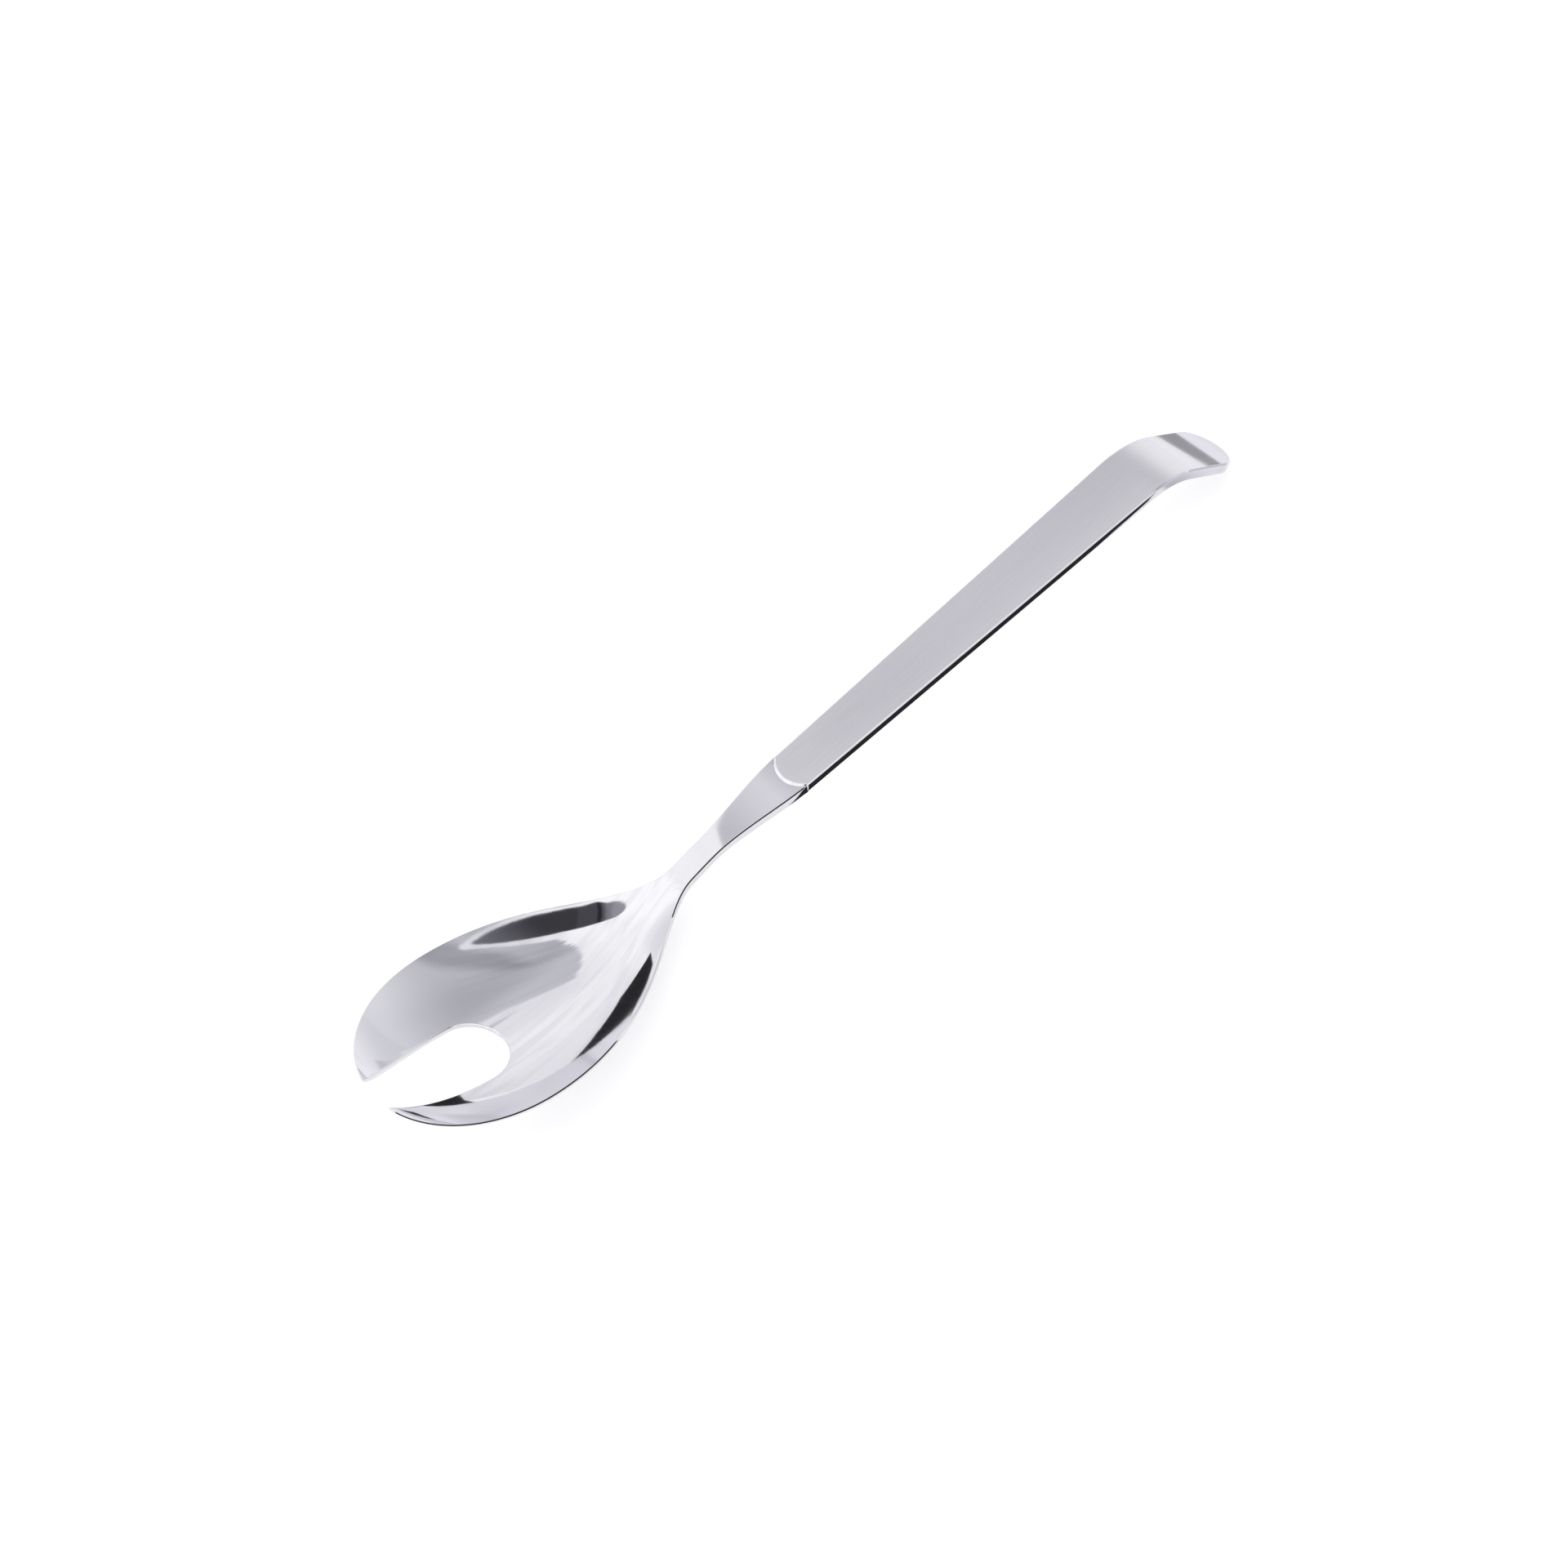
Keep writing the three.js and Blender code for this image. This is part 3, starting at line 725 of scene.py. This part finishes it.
class Shading(Formula):
    """Helpers for one material with the principled shader."""

    def __init__(self, name):
        self.material, nodes, _ = new_material(name)
        super().__init__(self.material.node_tree)
        self.shader = nodes["Principled BSDF"]

    def brush_place(self, scale, turn=0.0):
        """The brush coordinates in metres, turned in plan and scaled apart along and across."""
        source = self.nodes.new("ShaderNodeUVMap")
        source.uv_map = "brush"
        mapping = self.nodes.new("ShaderNodeMapping")
        mapping.vector_type = "TEXTURE"
        mapping.inputs["Rotation"].default_value = (0, 0, turn)
        mapping.inputs["Scale"].default_value = (1 / scale[0], 1 / scale[1], 1)
        self.links.new(source.outputs["UV"], mapping.inputs["Vector"])
        return mapping.outputs["Vector"]

    def brush_along(self):
        """How far along the piece a place lies, in metres."""
        source = self.nodes.new("ShaderNodeUVMap")
        source.uv_map = "brush"
        return self.split(source.outputs["UV"])["X"]

    def body_place(self):
        source = self.nodes.new("ShaderNodeTexCoord")
        return source.outputs["Object"]

    def noise(self, place, scale=1.0, detail=2.0):
        made = self.nodes.new("ShaderNodeTexNoise")
        made.inputs["Scale"].default_value = scale
        made.inputs["Detail"].default_value = detail
        self.links.new(place, made.inputs["Vector"])
        return made.outputs["Fac"]

    def spread(self, value, low, high, out_low, out_high):
        """A straight ramp from out_low to out_high."""
        made = self.nodes.new("ShaderNodeMapRange")
        made.inputs["From Min"].default_value = low
        made.inputs["From Max"].default_value = high
        made.inputs["To Min"].default_value = out_low
        made.inputs["To Max"].default_value = out_high
        self.links.new(value, made.inputs["Value"])
        return made.outputs["Result"]

    def colour(self, value, dark, light):
        made = self.nodes.new("ShaderNodeMix")
        made.data_type = "RGBA"
        made.inputs["A"].default_value = (*dark, 1)
        made.inputs["B"].default_value = (*light, 1)
        self.links.new(value, made.inputs["Factor"])
        return made.outputs["Result"]

    def bump(self, height, distance, before=None):
        made = self.nodes.new("ShaderNodeBump")
        made.inputs["Distance"].default_value = distance
        self.links.new(height, made.inputs["Height"])
        if before is not None:
            self.links.new(before, made.inputs["Normal"])
        return made.outputs["Normal"]

    def into(self, name, value):
        self.links.new(value, self.shader.inputs[name])


# colours of the two finishes and the filler, each from its darkest to its lightest
POLISHED_COLOURS = ((0.865, 0.86, 0.895), (0.895, 0.89, 0.925))
BRUSHED_COLOURS = ((0.83, 0.825, 0.855), (0.90, 0.895, 0.925))
RESIN_COLOURS = ((0.24, 0.22, 0.2), (0.38, 0.36, 0.33))


def polished_steel():
    made = Shading("polished_steel")
    made.shader.inputs["Metallic"].default_value = 1
    smudge = made.noise(made.body_place(), 70, 4)
    lines = made.noise(made.brush_place((120, 3800)), 1, 3)
    hair_a = made.spread(made.noise(made.brush_place((60, 2600), 0.6), 1, 1), 0.70, 0.78, 0, 0.035)
    hair_b = made.spread(made.noise(made.brush_place((70, 3000), -0.9), 1, 1), 0.71, 0.79, 0, 0.03)
    made.into("Base Color", made.colour(smudge, *POLISHED_COLOURS))
    rough = made.total(made.spread(smudge, 0.3, 0.7, 0.03, 0.06), made.spread(lines, 0.4, 0.8, 0, 0.02))
    made.into("Roughness", made.total(rough, made.total(hair_a, hair_b)))
    waves = made.noise(made.body_place(), 170, 2)
    made.into("Normal", made.bump(lines, 1e-7, made.bump(waves, 8e-6)))
    return made.material


def brushed_steel():
    """Brushed along the handle, and smoother where the hook begins."""
    made = Shading("brushed_steel")
    made.shader.inputs["Metallic"].default_value = 1
    made.shader.inputs["Anisotropic"].default_value = 1.0
    made.shader.inputs["Anisotropic Rotation"].default_value = 0.25
    fine = made.noise(made.brush_place((70, 8000)), 1, 3)
    broad = made.noise(made.brush_place((30, 1600)), 1, 2)
    cloud = made.noise(made.body_place(), 60, 2)
    grain = made.total(made.spread(fine, 0.3, 0.7, 0, 0.75), made.spread(broad, 0.3, 0.7, 0, 0.25))
    made.into("Base Color", made.colour(grain, *BRUSHED_COLOURS))
    rough = made.total(made.spread(grain, 0, 1, 0, 0.03), made.spread(cloud, 0.3, 0.7, 0, 0.02))
    made.into("Roughness", made.total(rough, made.spread(made.brush_along(), 0.120, 0.138, 0.13, 0.03)))
    made.into("Normal", made.bump(fine, 1.5e-7))
    tangent = made.nodes.new("ShaderNodeTangent")
    tangent.direction_type = "UV_MAP"
    tangent.uv_map = "brush"
    made.into("Tangent", tangent.outputs["Tangent"])
    return made.material


def filler_resin():
    made = Shading("filler_resin")
    grains = made.noise(made.body_place(), 900, 5)
    pores = made.noise(made.body_place(), 4000, 2)
    made.into("Base Color", made.colour(grains, *RESIN_COLOURS))
    made.into("Roughness", made.spread(pores, 0.3, 0.7, 0.7, 0.9))
    made.into("Normal", made.bump(pores, 5e-5))
    return made.material


POLISHED = polished_steel()
BRUSHED = brushed_steel()
RESIN = filler_resin()

pieces = [
    ("head_polished", head_skin(), POLISHED, "fork_head", "polished_steel"),
    ("handle_upper_brushed", handle_shell_skin(True), BRUSHED, "handle_upper_shell", "brushed_steel"),
    ("handle_lower_polished", handle_shell_skin(False), POLISHED, "handle_lower_shell", "polished_steel"),
]
for name, skin, material, node, slot in pieces:
    piece = skin.build(name)
    piece.data.materials.append(material)
    piece.data.materials.append(POLISHED)
    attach(piece, "root")
    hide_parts(node)
filler = frame["nodes"]["tang_filler"]
filler.data.materials.clear()
filler.data.materials.append(RESIN)

# floor: plain and pale, and lifted to white where the camera or the metal looks at it
FLOOR_SIZE = 6
FLOOR_COLOUR = (0.82, 0.82, 0.82, 1)
CAMERA_LIFT = 0.46
GLOSSY_LIFT = 0.27
bpy.ops.mesh.primitive_plane_add(size=FLOOR_SIZE, location=(0, 0, 0))
floor = bpy.context.object
floor.name = "floor"
white, nodes, links = new_material("white_floor")
shader = nodes["Principled BSDF"]
shader.inputs["Base Color"].default_value = FLOOR_COLOUR
shader.inputs["Roughness"].default_value = 0.9
shader.inputs["Specular IOR Level"].default_value = 0.0
path = nodes.new("ShaderNodeLightPath")
paint = Formula(white.node_tree)
lift = paint.total(
    paint.product(path.outputs["Is Camera Ray"], CAMERA_LIFT),
    paint.product(path.outputs["Is Glossy Ray"], GLOSSY_LIFT),
)
shader.inputs["Emission Color"].default_value = (1, 1, 1, 1)
links.new(lift, shader.inputs["Emission Strength"])
floor.data.materials.append(white)

# cards round the fork, as a photographer sets them for shiny metal: only reflections see them
CARD_COLOUR = (0.03, 0.03, 0.032, 1)
GLOW_COLOUR = (1, 0.99, 1.05, 1)
BLACK, nodes, links = new_material("black_card")
shader = nodes["Principled BSDF"]
shader.inputs["Base Color"].default_value = CARD_COLOUR
shader.inputs["Roughness"].default_value = 0.9
shader.inputs["Specular IOR Level"].default_value = 0.0


def glow_material(name, build):
    """A surface as bright as build says from the place on it in mm, and clear where its cover is 0."""
    made, nodes, links = new_material(name)
    nodes.remove(nodes["Principled BSDF"])
    paint = Formula(made.node_tree)
    place = nodes.new("ShaderNodeTexCoord")
    x, y, _ = paint.split(place.outputs["Object"])
    cover, shade = build(paint, paint.product(x, MM_PER_METRE), paint.product(y, MM_PER_METRE))
    glow = nodes.new("ShaderNodeEmission")
    glow.inputs["Color"].default_value = GLOW_COLOUR
    paint.feed(glow.inputs["Strength"], shade)
    through = nodes.new("ShaderNodeBsdfTransparent")
    mix = nodes.new("ShaderNodeMixShader")
    paint.feed(mix.inputs["Fac"], cover)
    links.new(through.outputs[0], mix.inputs[1])
    links.new(glow.outputs[0], mix.inputs[2])
    links.new(mix.outputs[0], nodes["Material Output"].inputs["Surface"])
    return made


def overhead_strip(paint, x, y):
    """Over the neck and the handle: a slanted start, a soft end, and a tone that changes along it."""
    start = paint.ease(paint.total(paint.product(x, 0.633), paint.product(y, -0.774)), -54.2, -51.8)
    far = paint.ease(paint.total(paint.product(x, 0.213), paint.product(y, -0.977)), -47.4, -45)
    near = paint.ease(paint.total(y, paint.ease(x, 0, 60, 0, 5)), 28, 32)
    end = paint.ease(x, 340, 150)
    neck = paint.ease(x, -35, -3, 0.57, 0.735)
    joint = paint.ease(x, -4, 6, 0, -0.15)
    handle = paint.ease(x, 30, 80, 0, 0.04)
    hook = paint.ease(x, 90, 150, 0, -0.05)
    return paint.product(start, far, near, end), paint.total(neck, joint, handle, hook)


def hook_ground(paint, x, y):
    """Beside the hook, from where its side leaves the black card."""
    return paint.ease(x, 124, 127), paint.ease(x, 128, 139, 0.53, 0.8)


def tail_ground(paint, x, y):
    """In front of the hook's end, a little darker close to it."""
    return 1.0, paint.ease(x, 155, 169, 0.83, 0.9)


def even_ground(shade):
    """The same brightness all over."""
    return lambda paint, x, y: (1.0, shade)


STRIP = glow_material("overhead_strip", overhead_strip)
HOOK_GROUND = glow_material("hook_ground", hook_ground)
TAIL_GROUND = glow_material("tail_ground", tail_ground)
GREY = glow_material("grey_ground", even_ground(0.6))
DARK = glow_material("dark_ground", even_ground(0.34))
PALE = glow_material("pale_ground", even_ground(0.9))


def card(name, corners, material):
    mesh = bpy.data.meshes.new(name)
    places = [[c / MM_PER_METRE for c in corner] for corner in corners]
    mesh.from_pydata(places, [], [list(range(len(corners)))])
    mesh.materials.append(material)
    made = bpy.data.objects.new(name, mesh)
    bpy.context.scene.collection.objects.link(made)
    made.visible_camera = False
    made.visible_diffuse = False
    made.visible_shadow = False


# standing cards: the distance across the fork that each stands at, and its corners as x and height
BOWL_CARD = [
    (-46, 0),
    (-12, 0),
    (-19, 12),
    (-29, 33),
    (-51, 61),
    (-76, 67.5),
    (-106, 67),
    (-89, 34),
    (-73, 20),
    (-59, 11),
]
STANDING_CARDS = [
    ("near_card", -200, [(-420, 0), (110, 0), (110, 76), (-420, 76)]),
    ("bowl_card", 205, BOWL_CARD),
    ("tine_card", 205, [(22, 0), (240, 0), (240, 100), (100, 100), (55, 46), (37, 16)]),
]
for name, across, corners in STANDING_CARDS:
    card(name, [(x, across, height) for x, height in corners], BLACK)
# this one stands square to the others, beyond the tines
card("left_card", [(-420, -200, 0), (-420, -200, 76), (-420, 10, 76), (-420, 10, 0)], BLACK)

# flat cards: height, corners as x and y, and material; those on the floor lie just over it
UNDER = 0.05
OVER = 0.1
OVERHEAD = 90
FLAT_CARDS = [
    ("bowl_card_foot", OVER, [(-62, 105), (-40, 105), (-12, 205), (-46, 205)], BLACK),
    ("tine_card_foot", OVER, [(-92, 44), (-72, 50), (240, 205), (22, 205), (-48, 103)], BLACK),
    ("handle_card", UNDER, [(-19, -12.6), (-9, -15.2), (140, -28.2), (140, -21.4), (-17, -5.7)], BLACK),
    ("hook_band", OVER, [(170, -2), (177.5, -2), (190, 50), (171.5, 50)], DARK),
    ("tail_ground", UNDER, [(153, -10), (169, -8), (171, 40), (153, 30)], TAIL_GROUND),
    ("hook_foot", OVER, [(166, -70), (2500, -1100), (2500, -560), (260, -14), (166, -4)], GREY),
    ("front_ground", UNDER, [(215, 0), (2990, 0), (2990, 1500), (215, 120)], PALE),
    ("hook_ground", UNDER, [(123, -80), (164, -80), (164, -11), (123, -11)], HOOK_GROUND),
    ("overhead_strip", OVERHEAD, [(-50, 20), (400, 20), (400, 135), (-50, 38)], STRIP),
]
for name, height, corners, material in FLAT_CARDS:
    card(name, [(x, y, height) for x, y in corners], material)

# camera
CAMERA_PLACE = Vector((-0.21186, -0.25911, 0.51251))
CAMERA_AIM = Vector((-0.01302, 0.00672, 0))
CAMERA_ROLL = math.radians(-7.6904)
CAMERA_LENS = 54.778
SENSOR_WIDTH = 36
camera_data = bpy.data.cameras.new("camera")
camera_data.sensor_width = SENSOR_WIDTH
camera_data.lens = CAMERA_LENS
camera = bpy.data.objects.new("camera", camera_data)
bpy.context.scene.collection.objects.link(camera)
camera.location = CAMERA_PLACE
camera.rotation_mode = "QUATERNION"
look = (CAMERA_AIM - CAMERA_PLACE).to_track_quat("-Z", "Y")
camera.rotation_quaternion = look @ Quaternion((0, 0, 1), CAMERA_ROLL)
bpy.context.scene.camera = camera

# surroundings: a white tent with folds, a grey side, and a dark opening with a white hem to look in by.
# Directions are charted flat, as degrees from straight up laid out along their bearing: the places below are
# degrees on that chart, and the tones are shares of white.
LEAST_LEVEL = 1e-5
world = bpy.data.worlds.new("tent")
bpy.context.scene.world = world
world.use_nodes = True
tent = Formula(world.node_tree)
coordinate = tent.nodes.new("ShaderNodeTexCoord")
dx, dy, dz = tent.split(coordinate.outputs["Generated"])
from_top = tent.product(tent.math("ARCCOSINE", dz), 180 / math.pi)
level = tent.math("SQRT", tent.total(tent.product(dx, dx), tent.product(dy, dy)))
stretch = tent.math("DIVIDE", from_top, tent.math("MAXIMUM", level, LEAST_LEVEL))
chart_x = tent.product(dx, stretch)
chart_y = tent.product(dy, stretch)


def line(a, b):
    return tent.total(tent.product(chart_x, a), tent.product(chart_y, b))


def from_middle(hoop):
    """Degrees from the middle of a hoop, given as its middle and radius; its right end bulges a little."""
    off_x = tent.math("SUBTRACT", chart_x, hoop[0])
    off_y = tent.math("SUBTRACT", chart_y, hoop[1])
    reach = tent.math("SQRT", tent.total(tent.product(off_x, off_x), tent.product(off_y, off_y)))
    return tent.math("SUBTRACT", reach, tent.ease(chart_x, -14, -24, 0, 1.3))


def beyond(edges, hoop, rounded):
    """Degrees outside a shape. Each edge is a line, or two that bend inwards: outward direction and reach."""
    pasts = [tent.math("SUBTRACT", from_middle(hoop), hoop[2] - rounded)]
    for edge in edges:
        lines = [tent.math("SUBTRACT", line(a, b), reach - rounded) for a, b, reach in edge]
        pasts.append(tent.math("MINIMUM", *lines) if len(lines) == 2 else lines[0])
    squares = []
    for past in pasts:
        past = tent.math("MAXIMUM", past, 0)
        squares.append(tent.product(past, past))
    return tent.math("SUBTRACT", tent.math("SQRT", tent.total(*squares)), rounded)


def folds(a, b, along, across):
    """Soft folds that run in direction a, b; the pattern's tightness along and across them."""
    made = tent.nodes.new("ShaderNodeTexNoise")
    made.inputs["Scale"].default_value = 1.0
    made.inputs["Detail"].default_value = 3.0
    made.inputs["Distortion"].default_value = 0.8
    place = tent.nodes.new("ShaderNodeCombineXYZ")
    tent.links.new(tent.product(line(a, b), along), place.inputs["X"])
    tent.links.new(tent.product(line(-b, a), across), place.inputs["Y"])
    tent.links.new(place.outputs[0], made.inputs["Vector"])
    return made.outputs["Fac"]


# the opening and its hem
OPENING_HOOP = (8.6, 19.1, 56.8)
OPENING_EDGES = [
    [(0.509, 0.861, -19.2), (0.378, 0.926, -21.2)],
    [(0.237, 0.971, -14.1)],
    [(-1.0, 0.0, 29.3)],
    [(-0.85, 0.526, 18.9)],
    [(-0.897, -0.442, 35.4)],
]
HEM_HOOP = (8.6, 19.1, 57.8)
HEM_EDGES = [[(0.509, 0.861, -14.6), (0.378, 0.926, -19.6)]]
opening = tent.ease(beyond(OPENING_EDGES, OPENING_HOOP, 1.3), 0.4, -0.4)
hem = tent.ease(beyond(HEM_EDGES, HEM_HOOP, 1.3), 0.5, -0.3)

# the grey side: where it lies, with a ragged end, and its tone, with one dark fold and a front of its own
ragged = tent.ease(folds(1.0, 0.0, 0.05, 0.35), 0.35, 0.65, -1.2, 1.2)
left = tent.ease(tent.total(chart_x, ragged), 4.8, 7.6)
corner = tent.ease(tent.total(line(-0.911, 0.411), ragged), -4.4, -7.2)
far_edge = tent.math(
    "MAXIMUM",
    tent.math(
        "MAXIMUM",
        tent.ease(line(0.533, 0.846), 27.2, 24.6),
        tent.ease(line(0.226, 0.974), 18.4, 15.2),
    ),
    tent.product(tent.ease(chart_x, 58, 66), tent.ease(chart_y, 24, 18)),
)
outer_strip = tent.product(
    tent.ease(from_middle(HEM_HOOP), HEM_HOOP[2], HEM_HOOP[2] + 0.6),
    tent.ease(chart_x, -30, 0),
    tent.ease(chart_y, -18, -24),
)
side = tent.math("MAXIMUM", tent.product(left, corner, far_edge), outer_strip)
side = tent.product(side, tent.math("SUBTRACT", 1, hem), tent.ease(chart_y, -53, -47))
across_fold = line(0.739, 0.674)
dark_fold = tent.product(
    tent.ease(across_fold, -4, 1.5),
    tent.ease(across_fold, 10, 5),
    tent.ease(chart_x, 18, 26),
    tent.ease(chart_x, 47, 38),
)
front = tent.product(tent.ease(line(0.877, 0.486), 53, 54.5), tent.ease(line(0.86, -0.51), 52, 53.5))
side_folds = tent.ease(folds(0.926, -0.378, 0.02, 0.16), 0.36, 0.66, 0.03, -0.03)
side_tone = tent.total(
    0.44,
    tent.ease(chart_x, 36, 68, 0, 0.28),
    tent.ease(line(-0.3, 0.95), -18, -3, 0, 0.12),
    tent.ease(chart_y, -12, -32, 0, 0.10),
    tent.product(dark_fold, -0.17),
    tent.product(tent.ease(chart_y, -32, -40), tent.ease(chart_x, 34, 42), -0.16),
    tent.product(side_folds, tent.ease(chart_x, 44, 30)),
    tent.product(front, tent.ease(chart_x, 66, 95, -0.045, 0.18)),
)

# the white cloth: a half tone next to the grey side, a shade beyond it, another at the back, and less light
# low down
half_tone = tent.product(tent.ease(chart_y, 42, 27), tent.ease(chart_x, 6, 20), tent.ease(chart_x, 60, 44))
far_shade = tent.product(
    tent.ease(chart_x, 40, 47),
    tent.ease(chart_x, 62, 53),
    tent.ease(chart_y, 29, 33),
    tent.ease(chart_y, 44, 36),
)
cloth = tent.total(
    0.96,
    tent.ease(folds(0.9, 0.43, 0.022, 0.11), 0.40, 0.62, 0, -0.10),
    tent.ease(chart_x, 8, -4, 0, 0.08),
    tent.ease(chart_x, -20, -30, 0, 0.06),
    tent.ease(chart_y, -44, -50, 0, 0.06),
    tent.product(half_tone, -0.13),
    tent.product(far_shade, -0.2),
    tent.product(tent.ease(chart_x, -6, -24), tent.ease(chart_y, 40, 58), -0.11),
    tent.product(tent.ease(from_top, 60, 88), tent.ease(chart_x, 78, 58), -0.12),
)

# inside the opening: dim, lighter towards both ends, with a dark bar across it
across_bar = line(-0.75, 0.66)
inside_tone = tent.total(
    0.045,
    tent.ease(chart_x, 4, 29, 0, 0.12),
    tent.ease(across_bar, -13.2, -12.4, 0, 0.02),
    tent.product(tent.ease(across_bar, -3.6, -3.0), tent.ease(across_bar, -0.6, -1.2), -0.04),
    tent.ease(across_bar, -1, 4, 0, 0.14),
    tent.ease(across_bar, 4, 9, 0, 0.10),
)

# the camera sees plain white beyond the floor, and the dim places of the tent are a little blue
DIM_TINT = (1.0, 0.995, 1.14, 1)
WHITE = (1, 1, 1, 1)
light = tent.mix(opening, tent.mix(side, cloth, side_tone), inside_tone)
sight = tent.nodes.new("ShaderNodeLightPath")
strength = tent.mix(sight.outputs["Is Camera Ray"], light, 1.0)
tint = tent.nodes.new("ShaderNodeMix")
tint.data_type = "RGBA"
tint.inputs["A"].default_value = DIM_TINT
tint.inputs["B"].default_value = WHITE
tent.links.new(strength, tint.inputs["Factor"])
background = tent.nodes["Background"]
tent.links.new(tint.outputs["Result"], background.inputs["Color"])
tent.links.new(strength, background.inputs["Strength"])

bpy.context.scene.view_settings.view_transform = "Standard"
